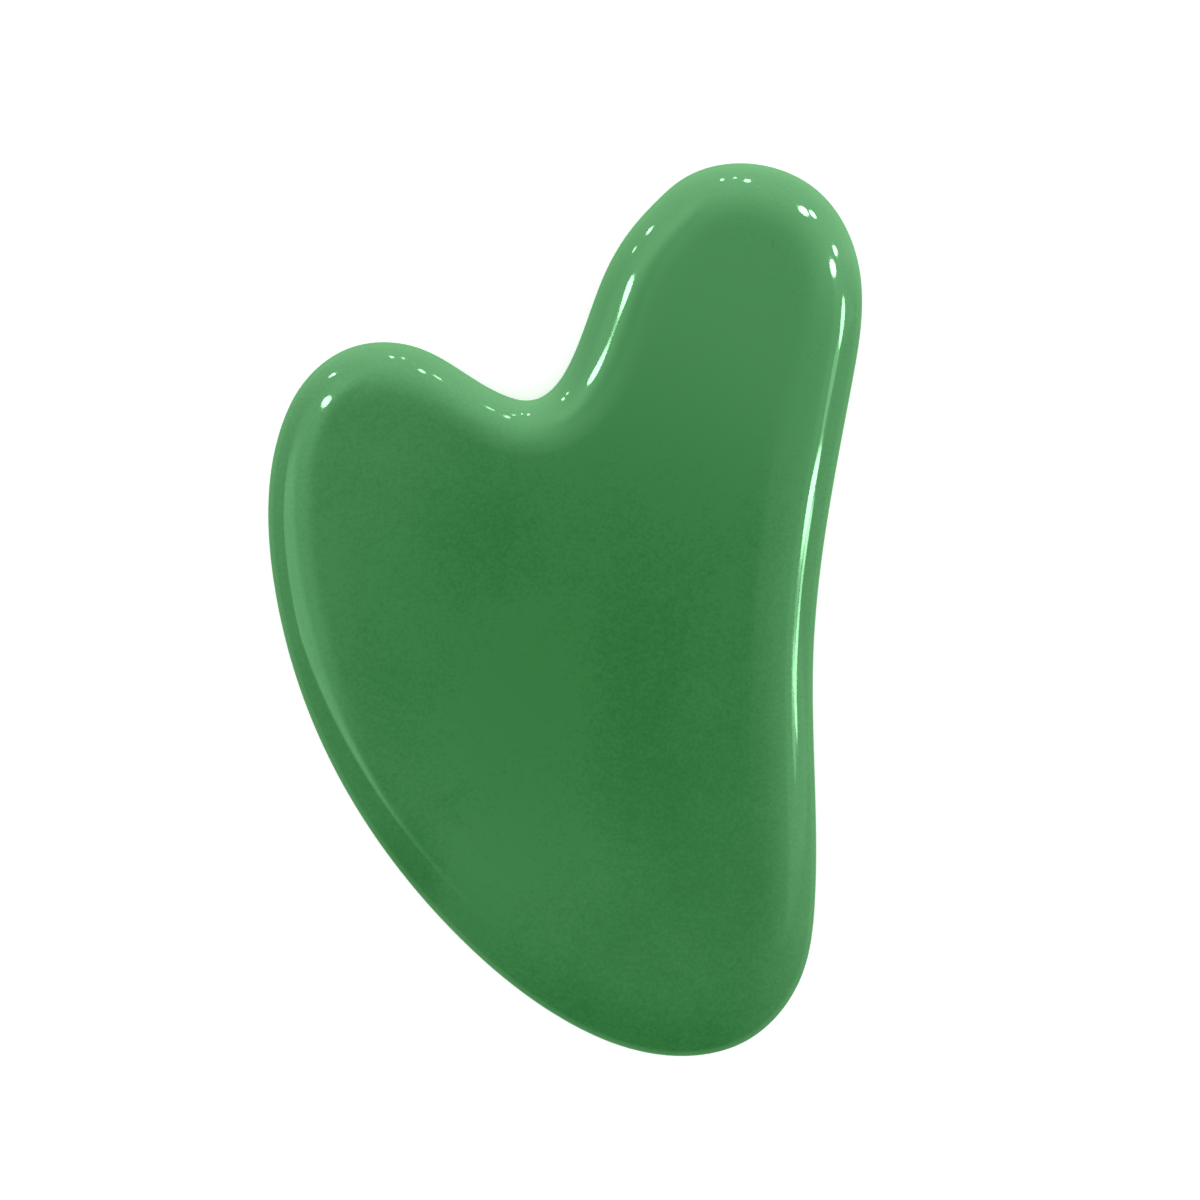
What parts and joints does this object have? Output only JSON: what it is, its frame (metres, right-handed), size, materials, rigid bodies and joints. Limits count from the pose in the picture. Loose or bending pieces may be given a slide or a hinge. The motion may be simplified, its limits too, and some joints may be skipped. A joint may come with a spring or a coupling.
{
  "type": "gua sha scraper",
  "caption": "Flat heart-shaped plate of polished green stone with a rounded rim, a notch between a tall and a short lobe, and a long curved belly, for scraping massage.",
  "frame": {"origin": "centre of the bounding box, on the flat face that the scraper lies on", "axes": "+Z through the thickness, out of the upper flat face; +Y along the length, from the rounded heel to the tall lobe; +X from the convex belly side to the waisted side"},
  "size_m": [0.0558, 0.084, 0.006],
  "materials": {
    "green_stone": "polished"
  },
  "bodies": {
    "root": {"scraper_stone": "green_stone"}
  },
  "joints": []
}
